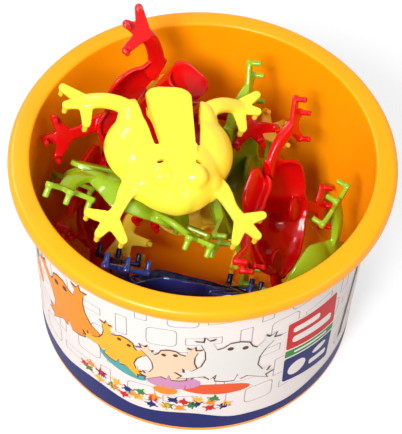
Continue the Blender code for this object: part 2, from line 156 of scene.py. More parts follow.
# Roughness, share of light under the surface, its reach, and share of the clear coat
FROG_FINISH = (0.17, 0.10, 2.0 * MM, 0.10)
TUB_FINISH = (0.34, 0.05, 3.0 * MM, 0.05)
PLASTIC_IOR = 1.49
PLASTIC_SPECULAR = 0.28
COAT_ROUGHNESS = 0.06
# How far red, green and blue light spread under the surface, as shares of the reach
SPREAD_SHARES = (1.0, 0.4, 0.1)
FLOW_SIZE = 30.0 * MM
FLOW_NOISE = (0.3, 0.7)
FLOW_TONES = (0.97, 1.02)
RIPPLE_SIZE = 9.0 * MM
RIPPLE_DEPTH = 0.02 * MM
RIPPLE_STRENGTH = 0.6


def linear(code):
    """Screen colour, written as six hex digits, in linear light."""
    shares = [int(code[at : at + 2], 16) / 255 for at in (0, 2, 4)]
    light = [s / 12.92 if s <= 0.04045 else ((s + 0.055) / 1.055) ** 2.4 for s in shares]
    return (*light, 1.0)


def set_inputs(node, **values):
    """Set a shader node's inputs, each named with an underscore for a blank."""
    for key, value in values.items():
        node.inputs[key.replace("_", " ")].default_value = value


def add_node(tree, kind, links=None, **values):
    """Add a shader node with its properties, its inputs and the links into them."""
    node = tree.nodes.new(kind)
    for key, value in values.items():
        if hasattr(node, key):
            setattr(node, key, value)
        else:
            set_inputs(node, **{key: value})
    for key, output in (links or {}).items():
        tree.links.new(output, node.inputs[key])
    return node


def new_surface(name):
    """A new material with its node tree and its surface node."""
    made = bpy.data.materials.new(name)
    made.use_nodes = True
    return made, made.node_tree, made.node_tree.nodes["Principled BSDF"]


def plastic(name, shade, roughness, subsurface, reach, coat):
    """Moulded polypropylene with a faint flow in its tone and a faint ripple in its gloss."""
    made, tree, skin = new_surface(name)
    set_inputs(skin, Roughness=roughness, IOR=PLASTIC_IOR, Specular_IOR_Level=PLASTIC_SPECULAR)
    set_inputs(skin, Subsurface_Weight=subsurface, Subsurface_Radius=SPREAD_SHARES)
    set_inputs(skin, Subsurface_Scale=reach, Coat_Weight=coat, Coat_Roughness=COAT_ROUGHNESS)
    place = {"Vector": add_node(tree, "ShaderNodeTexCoord").outputs["Object"]}
    flow = add_node(tree, "ShaderNodeTexNoise", place, Scale=1 / FLOW_SIZE, Detail=2.0)
    tone = add_node(tree, "ShaderNodeMapRange", {"Value": flow.outputs["Fac"]})
    set_inputs(tone, From_Min=FLOW_NOISE[0], From_Max=FLOW_NOISE[1])
    set_inputs(tone, To_Min=FLOW_TONES[0], To_Max=FLOW_TONES[1])
    tinted = {7: tone.outputs["Result"]}
    colour = add_node(tree, "ShaderNodeMix", tinted, data_type="RGBA", blend_type="MULTIPLY")
    colour.inputs["Factor"].default_value = 1.0
    colour.inputs[6].default_value = linear(shade)
    tree.links.new(colour.outputs[2], skin.inputs["Base Color"])
    ripple = add_node(tree, "ShaderNodeTexNoise", place, Scale=1 / RIPPLE_SIZE, Detail=1.0)
    bump = add_node(tree, "ShaderNodeBump", {"Height": ripple.outputs["Fac"]})
    set_inputs(bump, Strength=RIPPLE_STRENGTH, Distance=RIPPLE_DEPTH)
    tree.links.new(bump.outputs["Normal"], skin.inputs["Normal"])
    return made


frog_plastic = {
    name: plastic(f"{name}_polypropylene", SHADES[name], *FROG_FINISH) for name in FROG_COLOURS
}
tub_plastic = plastic("orange_polypropylene", SHADES["tub"], *TUB_FINISH)
print("plastics:", len(frog_plastic) + 1)

# %% [markdown]
# ## A moulded frog
# Each frog is one injection moulding: a domed shell that is open beneath, two low eyes, four flat
# legs with toes, and a pad at the back, cut free on both sides, that springs when it is pressed.
# Such a soft form has no hard edges to draw, so it is built like clay: rounded lumps are laid over
# one another, remeshed into a single skin and smoothed. The order is skin, wall, legs, slits.

# %% Lumps of the dome
# Each row is a lump's centre and half sizes in millimetres; a lump off the middle is made twice
DOME_LUMPS = (
    ((0.0, -2.0, 4.0), (20.0, 21.0, 15.2)),
    ((10.5, 4.5, 3.6), (14.8, 16.0, 13.4)),
    ((13.3, 14.8, 5.6), (7.2, 12.2, 9.3)),
    ((10.4, -9.5, 3.8), (9.4, 8.6, 9.6)),
    ((0.0, -14.2, 6.4), (9.8, 9.4, 8.2)),
    ((0.0, -9.0, 7.0), (12.0, 10.0, 10.6)),
)
EYE_LUMP = ((6.4, -11.6, 13.6), (5.0, 5.0, 5.0))
LUMP_SEGMENTS = 48
LUMP_RINGS = 32
CLAY_CELL = 0.6 * MM
DOME_PASSES = 10
PASS_SHARE = 0.5


def lump(centre_mm, half_sizes_mm):
    """One rounded lump of clay."""
    bpy.ops.mesh.primitive_uv_sphere_add(segments=LUMP_SEGMENTS, ring_count=LUMP_RINGS, radius=1.0)
    ball = bpy.context.object
    ball.scale = [size * MM for size in half_sizes_mm]
    ball.location = [place * MM for place in centre_mm]
    return settle(ball)


def both_sides(centre_mm, half_sizes_mm):
    """A lump, and its twin on the other side if it is off the middle."""
    x, y, z = centre_mm
    sides = (1, -1) if x else (1,)
    return [lump((x * side, y, z), half_sizes_mm) for side in sides]


def clay(piece, cell, passes):
    """Fuse overlapping lumps into one skin and smooth it in a number of passes."""
    apply_modifier(piece, "REMESH", mode="VOXEL", voxel_size=cell)
    apply_modifier(piece, "SMOOTH", factor=PASS_SHARE, iterations=passes)


lumps = []
for centre_mm, half_sizes_mm in (*DOME_LUMPS, EYE_LUMP):
    lumps += both_sides(centre_mm, half_sizes_mm)
dome = join(lumps, "dome")
clay(dome, CLAY_CELL, DOME_PASSES)
print("dome faces:", len(dome.data.polygons))

# %% [markdown]
# The underside is cut away level with the legs, and rises at the back so that the pad can be
# pressed down. What is left is a skin without a thickness, and Solidify gives it the moulded wall,
# built inwards so that the outside keeps its size.

# %% Open the underside and give the skin its wall
EDGE_LEVEL = 4.4 * MM
SHELL_WALL = 1.6 * MM
REAR_CUT_START_Y = 8.0 * MM
REAR_CUT_SLOPE_DEG = 27.0


def cut_below(piece, point, normal):
    """Bisect a mesh and keep what lies on the normal's side."""
    pick(piece)
    bpy.ops.object.mode_set(mode="EDIT")
    bpy.ops.mesh.select_all(action="SELECT")
    bpy.ops.mesh.bisect(plane_co=point, plane_no=normal, clear_inner=True)
    bpy.ops.object.mode_set(mode="OBJECT")


cut_below(dome, (0.0, 0.0, EDGE_LEVEL), (0.0, 0.0, 1.0))
slope = math.radians(REAR_CUT_SLOPE_DEG)
cut_below(dome, (0.0, REAR_CUT_START_Y, EDGE_LEVEL), (0.0, -math.sin(slope), math.cos(slope)))
apply_modifier(dome, "SOLIDIFY", thickness=SHELL_WALL, offset=-1.0, use_even_offset=True)
print("shell wall:", round(SHELL_WALL / MM, 2), "mm")

# %% [markdown]
# Legs and toes are flat bars of much the same wall. Each is the wrap of two discs, one at either
# end, so a limb tapers and slopes from station to station as if it were cut from sheet, and every
# end is round. A leg's few stations are joined by a smooth curve through them, so the leg arches.
# Each toe stands on a short peg, which is what the toy rests on.

# %% Legs, toes and pegs
# All in millimetres
LIMB_WALL = 1.8
LIMB_SIDES = 24
PEG_RADIUS = 1.15
TOE_LEVEL = 4.9
TOE_WIDTH = 3.3
FOOT_WIDTH = 5.8
CURVE_PARTS = 5
# Stations of a leg: plan place, height of the bar's middle, and width
HIND_LEG = (
    (13.4, 16.4, 11.8, 7.8),
    (17.4, 20.8, 10.8, 6.6),
    (21.8, 23.6, 9.0, 6.2),
    (26.0, 25.2, 6.9, 6.0),
    (30.2, 25.6, 4.9, 6.2),
)
FRONT_LEG = (
    (13.0, -9.5, 7.8, 10.5),
    (18.2, -14.2, 7.4, 6.8),
    (21.4, -20.0, 5.9, 4.6),
    (24.8, -25.2, 4.9, 5.2),
)
# Plan place of each toe's tip
HIND_TOES = ((38.6, 31.8), (37.9, 24.0), (30.8, 16.0))
FRONT_TOES = ((33.4, -22.6), (30.2, -31.4), (21.4, -34.0))


def post(x, y, z, radius, height, sides):
    """An upright cylinder about its middle."""
    bpy.ops.mesh.primitive_cylinder_add(
        vertices=sides, radius=radius * MM, depth=height * MM, location=(x * MM, y * MM, z * MM)
    )
    return settle(bpy.context.object)


def disc(x, y, z, width):
    """A disc of the limb's wall, its middle at a height."""
    return post(x, y, z, width / 2, LIMB_WALL, LIMB_SIDES)


def bar(start, end):
    """A flat bar: two discs wrapped together."""
    return wrap(join([disc(*start), disc(*end)], "bar"))


def curved(stations):
    """More stations on the smooth curve through a few of them."""
    rows = [Vector(station) for station in stations]
    ends = [2 * rows[0] - rows[1], *rows, 2 * rows[-1] - rows[-2]]
    made = []
    for before, start, end, after in zip(ends, ends[1:], ends[2:], ends[3:]):
        for part in range(CURVE_PARTS):
            t = part / CURVE_PARTS
            push = (end - before) * t + (2 * before - 5 * start + 4 * end - after) * t**2
            made.append(start + (push + (3 * start - before - 3 * end + after) * t**3) / 2)
    return [*made, rows[-1]]


def limb(stations, toes):
    """A leg through its stations, with its toes and their pegs."""
    rows = curved(stations)
    pieces = [bar(near, far) for near, far in zip(rows, rows[1:])]
    foot = (*stations[-1][:2], TOE_LEVEL, FOOT_WIDTH)
    for x, y in toes:
        pieces.append(bar(foot, (x, y, TOE_LEVEL, TOE_WIDTH)))
        pieces.append(post(x, y, TOE_LEVEL / 2, PEG_RADIUS, TOE_LEVEL, LIMB_SIDES))
    return pieces


legs = join(limb(HIND_LEG, HIND_TOES) + limb(FRONT_LEG, FRONT_TOES), "legs")
apply_modifier(legs, "MIRROR", use_axis=(True, False, False), use_clip=False)
print("leg faces:", len(legs.data.polygons))

# %% [markdown]
# The pad starts as a plate of its own, a little above the dome at the back. Fused with the dome and
# the legs and smoothed, it becomes the raised tongue that a finger finds.

# %% The pad's plate, and one skin over everything
# Corners in millimetres: plan place, height and corner radius, root first
PAD_CORNERS = ((5.8, -2.0, 18.1, 1.4), (3.6, 21.6, 13.5, 6.1))
SKIN_CELL = 0.40 * MM
SKIN_PASSES = 4
KEPT_SHARE = 0.32

corner_discs = []
for x, y, z, radius in PAD_CORNERS:
    for side in (1, -1):
        corner_discs.append(disc(x * side, y, z, 2 * radius))
pad_plate = wrap(join(corner_discs, "pad_plate"))
frog = join([dome, legs, pad_plate], "frog")
clay(frog, SKIN_CELL, SKIN_PASSES)
apply_modifier(frog, "DECIMATE", ratio=KEPT_SHARE)
print("frog faces:", len(frog.data.polygons))

# %% [markdown]
# The pad is cut free by a slit on either side. Both slits start round, so the plastic doesn't tear
# there, and widen to the back. The same outline cuts the pad out of a copy of the skin, so pad and
# body meet at the root with no step: there the plastic bends.

# %% Slits, pad and eye dents
# All in millimetres: a slit's root and ends by plan place, the pad's sides from root to end
SLIT_RADIUS = 1.15
SLIT_ROOT = (7.8, 0.7)
SLIT_END_INNER = (11.1, 42.0)
SLIT_END_OUTER = (15.0, 42.0)
PAD_ROOT_Y = 0.8
PAD_SIDES = ((6.75, 0.6), (10.5, 42.0))
ROOT_SEAM = 0.03
CUT_HEIGHT = 60.0
PRISM_SIDES = 48
EYE_DENT = ((7.2, -7.4, 16.7), (1.6, 0.9, 2.0))
EYE_DENT_TURN_DEG = 16.0
FROG_SMOOTH_DEG = 40


def prism(corners):
    """A tall block wrapped round upright posts, each with a plan place and a radius."""
    posts = [post(x, y, 0.0, radius, CUT_HEIGHT, PRISM_SIDES) for x, y, radius in corners]
    return wrap(join(posts, "prism"))


def pad_block(back):
    """Block round the pad, from its root's line to behind the frog; back moves its root."""
    (near_x, corner), (far_x, far_y) = PAD_SIDES
    root_y = PAD_ROOT_Y + back + corner
    posts = [(side * (near_x - corner), root_y, corner) for side in (1, -1)]
    posts += [(side * (far_x - corner), far_y, corner) for side in (1, -1)]
    return prism(posts)


pick(frog)
bpy.ops.object.duplicate()
pad = bpy.context.object
pad.name = "pad"
cut(pad, pad_block(ROOT_SEAM), "INTERSECT")
cut(frog, pad_block(0.0), "DIFFERENCE")
for side in (1, -1):
    posts = [(side * SLIT_ROOT[0], SLIT_ROOT[1], SLIT_RADIUS)]
    posts += [(side * x, y, SLIT_RADIUS) for x, y in (SLIT_END_INNER, SLIT_END_OUTER)]
    cut(frog, prism(posts), "DIFFERENCE")
    (dent_x, dent_y, dent_z), dent_size = EYE_DENT
    dent = lump((0.0, 0.0, 0.0), dent_size)
    dent.rotation_euler.z = math.radians(-side * EYE_DENT_TURN_DEG)
    dent.location = (side * dent_x * MM, dent_y * MM, dent_z * MM)
    cut(frog, settle(dent), "DIFFERENCE")
smooth(frog, FROG_SMOOTH_DEG)
smooth(pad, FROG_SMOOTH_DEG)
print("frog faces:", len(frog.data.polygons), "pad faces:", len(pad.data.polygons))

# %% [markdown]
# ## Ten copies in the heap
# The frame holds each frog as two nodes, the body and the tail, joined by a hinge. The hinge's
# place and direction, with the tail's own lean behind it, say how that frog lies, so each copy is
# laid by them. Every copy gets a mesh of its own, with its place in the mesh.

# %% Lay each copy where its hinge says
# The hinge of the modelled frog, and how steeply the tail's middle lies below it
HINGE = Vector((0.0, 0.8, 17.735)) * MM
TAIL_LEAN_DEG = 9.15


def middle_of(node):
    """Middle of a node's surface."""
    total = Vector()
    area = 0.0
    for face in node.data.polygons:
        total += face.center * face.area
        area += face.area
    return total / area


def frog_place(joint):
    """Matrix that takes the modelled frog to the place of one in the frame."""
    right = Vector(joint["axis"]).normalized()
    hinge = Vector(joint["pos_m"])
    way = middle_of(frame["nodes"][joint["child"]]) - hinge
    way = (way - right * way.dot(right)).normalized()
    back = Matrix.Rotation(math.radians(TAIL_LEAN_DEG), 3, right) @ way
    up = right.cross(back)
    turn = Matrix((right, back, up)).transposed().to_4x4()
    return Matrix.Translation(hinge) @ turn @ Matrix.Translation(-HINGE)


def laid(model, name, place, finish):
    """A copy of a model with its own mesh, laid in place."""
    made = add_object(name, model.data.copy())
    made.data.transform(place)
    made.data.materials.clear()
    made.data.materials.append(finish)
    return made


slots = {row["node"]: row["material_slot"] for row in frame["record"]["subparts"]}
for joint in frame["joints"]:
    if joint["type"] != "hinge":
        continue
    tail_node = joint["child"]
    body_node = tail_node.replace("_tail", "_body")
    place = frog_place(joint)
    colour_name = slots[tail_node]
    for model, node, ending in ((frog, body_node, "moulding"), (pad, tail_node, "pad")):
        name = tail_node.replace("tail", ending)
        copy = laid(model, name, place, frog_plastic[colour_name])
        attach(copy, joint["parent"] if model is frog else joint["child"])
        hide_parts(node)
for model in (frog, pad):
    bpy.data.objects.remove(model)

# %% [markdown]
# ## The tub
# The tub is a thin-walled cone with a broad rim that turns down in a short skirt. It is turned as
# on a lathe: one half profile, drawn from the inside of the floor up over the rim and down to the
# foot, is spun once round. The round parts of the profile are arcs of many short steps, so the rim
# catches one clean highlight.

# %% Profile of the tub
# All in millimetres
TUB_HEIGHT = 100.5
BASE_RADIUS = 66.0
TOP_RADIUS = 68.0
TUB_WALL = 1.6
FLOOR_LEVEL = 3.2
FLOOR_ROUND = 2.0
FOOT_LEVEL = 1.4
FOOT_ROUND = 1.2
FOOT_INNER_RADIUS = 60.8
FOOT_SLOPE = 0.4
RIM_RADIUS = 75.0
RIM_INNER_ROUND = 1.2
RIM_OUTER_ROUND = 2.7
RIM_FALL = 0.4
RIM_WALL = 3.0
NECK_DEPTH = 4.0
NECK_INSET = 0.25
NECK_FILLET = 0.2
NECK_LEVEL = 97.0
SKIRT_WALL = 1.6
SKIRT_ROUND = 0.4
SKIRT_EDGE = 0.5
RIM_SKIRT_LEVEL = 95.2
RECESS_BOTTOM = 2.6
RECESS_TOP = 94.0
RECESS_DEPTH = 0.45
RECESS_SLOPE = 0.1


def wall_radius(level):
    """Outer radius of the cone at a height."""
    return BASE_RADIUS + (TOP_RADIUS - BASE_RADIUS) * level / TUB_HEIGHT


def arc(centre, radii, start_deg, end_deg, steps):
    """Points of an arc, with its own radius across and up."""
    points = []
    for step in range(steps + 1):
        turn = math.radians(start_deg + (end_deg - start_deg) * step / steps)
        points.append(
            (centre[0] + radii[0] * math.cos(turn), centre[1] + radii[1] * math.sin(turn))
        )
    return points


inner_top = wall_radius(TUB_HEIGHT) - TUB_WALL
profile = [(0.0, FLOOR_LEVEL)]
floor_middle = (wall_radius(FLOOR_LEVEL) - TUB_WALL - FLOOR_ROUND, FLOOR_LEVEL + FLOOR_ROUND)
profile += arc(floor_middle, (FLOOR_ROUND, FLOOR_ROUND), -90, 0, steps=6)
profile += [(inner_top - NECK_INSET, TUB_HEIGHT - NECK_DEPTH)]
inner_middle = (inner_top + RIM_INNER_ROUND, TUB_HEIGHT - RIM_INNER_ROUND)
profile += arc(inner_middle, (RIM_INNER_ROUND, RIM_INNER_ROUND), 180, 92, steps=8)
outer_middle = (RIM_RADIUS - RIM_OUTER_ROUND, TUB_HEIGHT - RIM_FALL - RIM_OUTER_ROUND)
profile += arc(outer_middle, (RIM_OUTER_ROUND, RIM_OUTER_ROUND), 84, 0, steps=14)
profile += [(RIM_RADIUS, RIM_SKIRT_LEVEL + SKIRT_EDGE)]
skirt_middle = (RIM_RADIUS - SKIRT_WALL / 2, RIM_SKIRT_LEVEL + SKIRT_ROUND)
profile += arc(skirt_middle, (SKIRT_WALL / 2, SKIRT_ROUND), 0, -180, steps=6)
profile += [(RIM_RADIUS - SKIRT_WALL, TUB_HEIGHT - RIM_WALL)]
neck_radius = wall_radius(NECK_LEVEL) + NECK_FILLET
profile += [(neck_radius, TUB_HEIGHT - RIM_WALL - NECK_FILLET)]
profile += [(wall_radius(RECESS_TOP), RECESS_TOP + RECESS_SLOPE)]
profile += [(wall_radius(RECESS_TOP) - RECESS_DEPTH, RECESS_TOP)]
profile += [(wall_radius(RECESS_BOTTOM) - RECESS_DEPTH, RECESS_BOTTOM)]
profile += [(wall_radius(RECESS_BOTTOM), RECESS_BOTTOM - RECESS_SLOPE)]
foot_middle = (wall_radius(0.0) - FOOT_ROUND, FOOT_ROUND)
profile += arc(foot_middle, (FOOT_ROUND, FOOT_ROUND), 0, -90, steps=6)
profile += [(FOOT_INNER_RADIUS + FOOT_SLOPE, 0.0), (FOOT_INNER_RADIUS, FOOT_SLOPE)]
profile += [(FOOT_INNER_RADIUS - FOOT_SLOPE, FOOT_LEVEL), (0.0, FOOT_LEVEL)]
print("profile points:", len(profile))

# %% [markdown]
# A real tub comes out of its mould in one piece. Spin is the nearest to that here: it carries the
# profile round in many even steps, and merging the doubled points closes the seam and the poles in
# the middle of the floor.

# %% Spin the profile
SPIN_STEPS = 192
MERGE_DISTANCE_M = 0.00001
TUB_SMOOTH_DEG = 32


def spun(name, points):
    """Turn a half profile, in millimetres, once round the upright axis."""
    mesh = bpy.data.meshes.new(name)
    edges = [(at, at + 1) for at in range(len(points) - 1)]
    mesh.from_pydata([(x * MM, 0.0, z * MM) for x, z in points], edges, [])
    made = add_object(name, mesh)
    pick(made)
    bpy.ops.object.mode_set(mode="EDIT")
    bpy.ops.mesh.select_all(action="SELECT")
    bpy.ops.mesh.spin(steps=SPIN_STEPS, angle=math.tau, center=(0, 0, 0), axis=(0, 0, 1))
    bpy.ops.mesh.select_all(action="SELECT")
    bpy.ops.mesh.remove_doubles(threshold=MERGE_DISTANCE_M)
    bpy.ops.mesh.normals_make_consistent(inside=False)
    bpy.ops.object.mode_set(mode="OBJECT")
    return made


tub = spun("tub_moulding", profile)
smooth(tub, TUB_SMOOTH_DEG)
tub.data.materials.append(tub_plastic)
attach(tub, "tub")
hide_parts("tub")
print("tub faces:", len(tub.data.polygons))

# %% [markdown]
# ## The label
# A printed film is wrapped round the cone and meets itself at the back. It is drawn flat, with the
# angle round the tub across and the height up, and laid on the cone by one function. The ground is
# an off-white film; every printed form is a thin layer of its own over it, which keeps its edge
# crisp at any distance. The print is plain shapes only: outline tiles, leaves, frog silhouettes,
# three panels and a dark wavy band along the foot.

# %% The film
FILM_BOTTOM = 2.9
FILM_TOP = 93.7
FILM_LIFT = 0.02
FILM_WALL = 0.3 * MM
FILM_SEAM_DEG = 0.45
FILM_COLUMNS = 180
FILM_ROWS = 4
FILM_SMOOTH_DEG = 30


def on_cone(angle_deg, level, lift):
    """Place of a label point: angle from the front to the right, height, and lift off the wall."""
    turn = math.radians(angle_deg)
    radius = (wall_radius(level) + lift) * MM
    return (radius * math.sin(turn), -radius * math.cos(turn), level * MM)


def grid(name, angles, levels_at, lift):
    """A sheet on the cone: columns at angles, each between two heights."""
    mesh = bpy.data.meshes.new(name)
    points = []
    for angle in angles:
        low, high = levels_at(angle)
        for row in range(FILM_ROWS + 1):
            points.append(on_cone(angle, low + (high - low) * row / FILM_ROWS, lift))
    stride = FILM_ROWS + 1
    faces = []
    for column in range(len(angles) - 1):
        for row in range(FILM_ROWS):
            at = column * stride + row
            faces.append((at, at + stride, at + stride + 1, at + 1))
    mesh.from_pydata(points, [], faces)
    return add_object(name, mesh)


def spread(start, end, count):
    """Evenly spaced values from a start to an end."""
    return [start + (end - start) * step / count for step in range(count + 1)]


film_angles = spread(-180 + FILM_SEAM_DEG, 180 - FILM_SEAM_DEG, FILM_COLUMNS)
film = grid("label_film", film_angles, lambda angle: (FILM_BOTTOM, FILM_TOP), FILM_LIFT)
apply_modifier(film, "SOLIDIFY", thickness=FILM_WALL, offset=-1.0)
smooth(film, FILM_SMOOTH_DEG)
print("film faces:", len(film.data.polygons))

# %% [markdown]
# Print inks are matte under a very thin clear varnish, so each ink is a rough base with hardly any
# coat. The film's own grain is a very fine noise in its roughness.

# %% Inks
INKS = {
    "paper": "E8DDD8",
    "grey": "A59C9E",
    "navy": "161E60",
    "orange": "F08A1D",
    "vermilion": "E0572A",
    "amber": "F6AE2A",
    "teal": "4F9EA0",
    "pink": "C98AAE",
    "red": "C6201F",
    "green": "2F7F33",
    "brown": "5A342A",
    "sand": "E6C7A8",
    "mist": "DDD8D2",
}
GRAIN_SIZE = 0.5 * MM
INK_ROUGHNESS = (0.38, 0.52)
INK_SPECULAR = 0.08
VARNISH_WEIGHT = 0.02
VARNISH_ROUGHNESS = 0.12


def ink(name, shade):
    """A varnished printing ink."""
    made, tree, skin = new_surface(name)
    set_inputs(skin, Base_Color=linear(shade), Specular_IOR_Level=INK_SPECULAR)
    set_inputs(skin, Coat_Weight=VARNISH_WEIGHT, Coat_Roughness=VARNISH_ROUGHNESS)
    place = {"Vector": add_node(tree, "ShaderNodeTexCoord").outputs["Object"]}
    grain = add_node(tree, "ShaderNodeTexNoise", place, Scale=1 / GRAIN_SIZE, Detail=1.0)
    rough = add_node(tree, "ShaderNodeMapRange", {"Value": grain.outputs["Fac"]})
    set_inputs(rough, To_Min=INK_ROUGHNESS[0], To_Max=INK_ROUGHNESS[1])
    tree.links.new(rough.outputs["Result"], skin.inputs["Roughness"])
    return made


inks = {name: ink(f"{name}_ink_on_film", shade) for name, shade in INKS.items()}
film.data.materials.append(inks["paper"])
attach(film, "tub")
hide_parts("label_wrap")
print("inks:", len(inks))

# %% [markdown]
# A printed form is a flat outline in label millimetres, filled, cut into strips so that it can
# bend, and laid on the cone. The layers lie a few hundredths of a millimetre over one another.

# %% Flat forms laid on the cone
LABEL_MIDDLE_LEVEL = 50.0
DEG_PER_MM = 180 / (math.pi * wall_radius(LABEL_MIDDLE_LEVEL))
PRINT_STEP = 2.0
LAYER_STEP = 0.03
# Layers from the film up; leaves and band share one, the panels' backs lie over them
TILE_LAYER, LEAF_LAYER, BACK_LAYER, PANEL_LAYER, MARK_LAYER = range(1, 6)
CORNER_STEPS = 5
ELLIPSE_POINTS = 24


def printed(name, outlines, ink_name, layer):
    """Closed outlines, in millimetres along and up the label, as one printed layer."""
    pieces = []
    for outline in outlines:
        mesh = bpy.data.meshes.new(name)
        mesh.from_pydata([(x, y, 0.0) for x, y in outline], [], [list(range(len(outline)))])
        pieces.append(add_object(name, mesh))
    made = join(pieces, name)
    low = min(vertex.co.x for vertex in made.data.vertices)
    high = max(vertex.co.x for vertex in made.data.vertices)
    bpy.ops.object.mode_set(mode="EDIT")
    at = low + PRINT_STEP
    while at < high:
        bpy.ops.mesh.select_all(action="SELECT")
        bpy.ops.mesh.bisect(plane_co=(at, 0, 0), plane_no=(1, 0, 0))
        at += PRINT_STEP
    bpy.ops.object.mode_set(mode="OBJECT")
    lift = FILM_LIFT + LAYER_STEP * layer
    for vertex in made.data.vertices:
        vertex.co = on_cone(vertex.co.x * DEG_PER_MM, vertex.co.y, lift)
    made.data.materials.append(inks[ink_name])
    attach(made, "tub")
    return made


def round_box(x, y, width, height, radius, lean=0.0):
    """Outline of a rounded box about its middle; lean raises its left side for each mm across."""
    points = []
    for quarter in range(4):
        sign_x = 1 if quarter in (0, 3) else -1
        sign_y = 1 if quarter < 2 else -1
        centre = (sign_x * (width / 2 - radius), sign_y * (height / 2 - radius))
        points += arc(centre, (radius, radius), quarter * 90, quarter * 90 + 90, CORNER_STEPS)
    return [(x + px, y + py - px * lean) for px, py in points]


def turned(points, x, y, size, turn_deg):
    """Points made larger, turned, and moved to a place."""
    cos = size * math.cos(math.radians(turn_deg))
    sin = size * math.sin(math.radians(turn_deg))
    return [(x + px * cos - py * sin, y + px * sin + py * cos) for px, py in points]


def ellipse(x, y, width, height, turn_deg=0.0):
    """Outline of an ellipse about its middle."""
    end_deg = 360 - 360 / ELLIPSE_POINTS
    flat = arc((0.0, 0.0), (width / 2, height / 2), 0, end_deg, ELLIPSE_POINTS - 1)
    return turned(flat, x, y, 1.0, turn_deg)


print("one millimetre of label is", round(DEG_PER_MM, 3), "degrees")

# %% [markdown]
# A dark blue band with a wavy top runs along the foot. It is a sheet on the cone like the film, and
# its top is an even wave through a row of heights, which are easier to change than a drawn curve.

# %% The dark band along the foot
# Heights of the band's top at even steps round the tub, from the middle of the back
BAND_TOPS = (
    *(14, 10.5, 9.4, 11.8, 13, 12, 11.5, 13, 17, 13),
    *(15.4, 10.5, 9.2, 11.6, 12, 10.8, 11.5, 13, 16.5, 13.2),
)
BAND_INSET = 0.1


def band_levels(angle_deg):
    """Foot and top of the band at an angle: an even wave through the named heights."""
    place = (angle_deg + 180) / 360 * len(BAND_TOPS)
    near = int(place) % len(BAND_TOPS)
    share = (1 - math.cos(math.pi * (place - int(place)))) / 2
    top = BAND_TOPS[near] * (1 - share) + BAND_TOPS[(near + 1) % len(BAND_TOPS)] * share
    return FILM_BOTTOM + BAND_INSET, top


band = grid("label_band", film_angles, band_levels, FILM_LIFT + LAYER_STEP * LEAF_LAYER)
band.data.materials.append(inks["navy"])
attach(band, "tub")
print("band tops:", len(BAND_TOPS))

# %% [markdown]
# On the right of the front stand three panels one above the other, red, green and dark blue, with
# a few plain bars and discs on them. Their edges fall away to the right. A thin dark line runs up
# beyond them.

# %% Panels and the thin line
# The print runs round the tub twice, so every form is laid once more this far along
REPEAT_MM = 210.0
# Corners of each panel: upper left, upper right, lower right and lower left
PANEL_RED = ((37.4, 69.9), (62.6, 69.3), (64.4, 45.9), (38.0, 50.6))
PANEL_GREEN = ((38.0, 49.6), (64.4, 45.0), (64.5, 40.6), (38.0, 44.6))
PANEL_NAVY = ((38.0, 43.6), (64.5, 39.6), (64.4, 19.6), (38.6, 25.6))
SIDE_LINE = ((79.6, 72.0), (83.0, 72.0), (76.0, 22.0), (72.6, 22.0))
PANEL_ROUND = 1.5
NARROW_ROUND = 0.7
BACK_MARGIN = 1.4


def rounded(corners, radius):
    """A closed form with its corners rounded."""
    points = []
    count = len(corners)
    for at in range(count):
        corner = Vector(corners[at])
        back = (Vector(corners[at - 1]) - corner).normalized() * radius
        onward = (Vector(corners[(at + 1) % count]) - corner).normalized() * radius
        for step in range(CORNER_STEPS + 1):
            t = step / CORNER_STEPS
            points.append(tuple(corner + back * (1 - t) ** 2 + onward * t**2))
    return points


def twice(outlines):
    """Outlines where they stand and once more on the other half of the label."""
    return [[(x + move, y) for x, y in form] for move in (0.0, REPEAT_MM) for form in outlines]


def between(corners, across, up):
    """A point of a panel by its shares across and up."""
    upper_left, upper_right, lower_right, lower_left = (Vector(corner) for corner in corners)
    upper = upper_left.lerp(upper_right, across)
    lower = lower_left.lerp(lower_right, across)
    return tuple(lower.lerp(upper, up))


def bar_on(corners, start, end, low, high, radius):
    """A bar on a panel, between shares across and up."""
    places = ((start, high), (end, high), (end, low), (start, low))
    return rounded([between(corners, across, up) for across, up in places], radius)


around = (*PANEL_RED[:2], *PANEL_NAVY[2:])
middle = sum((Vector(corner) for corner in around), Vector((0, 0))) / len(around)
backing = []
for corner in around:
    way = Vector(corner) - middle
    backing.append(tuple(Vector(corner) + way.normalized() * BACK_MARGIN))
printed("panel_backs", twice([rounded(backing, PANEL_ROUND)]), "paper", BACK_LAYER)
for name, corners, radius in (
    ("red", PANEL_RED, PANEL_ROUND),
    ("green", PANEL_GREEN, NARROW_ROUND),
    ("navy", PANEL_NAVY, PANEL_ROUND),
):
    printed(f"panel_{name}", twice([rounded(corners, radius)]), name, PANEL_LAYER)
# A bar by its shares across and up the panel and its corner radius, a disc by its middle and size
marks = [
    bar_on(PANEL_RED, 0.10, 0.62, 0.60, 0.80, 1.6),
    bar_on(PANEL_RED, 0.10, 0.90, 0.22, 0.46, 1.8),
    bar_on(PANEL_GREEN, 0.16, 0.84, 0.36, 0.66, 0.6),
    ellipse(*between(PANEL_NAVY, 0.26, 0.46), 9.0, 10.0),
    ellipse(*between(PANEL_NAVY, 0.72, 0.72), 8.0, 4.4),
    bar_on(PANEL_NAVY, 0.52, 0.92, 0.24, 0.44, 1.4),
]
printed("panel_marks", twice(marks), "paper", MARK_LAYER)
printed("side_line", twice([SIDE_LINE]), "brown", BACK_LAYER)
print("panel marks:", len(marks))

# %% [markdown]
# Faint grey tiles fill the ground: a lying bar, a standing bar and a rounded square, in rows that
# are set off by half a tile. Each rises a little to the right, and is only an outline: a band that
# follows the form once round and comes back a little inside it.

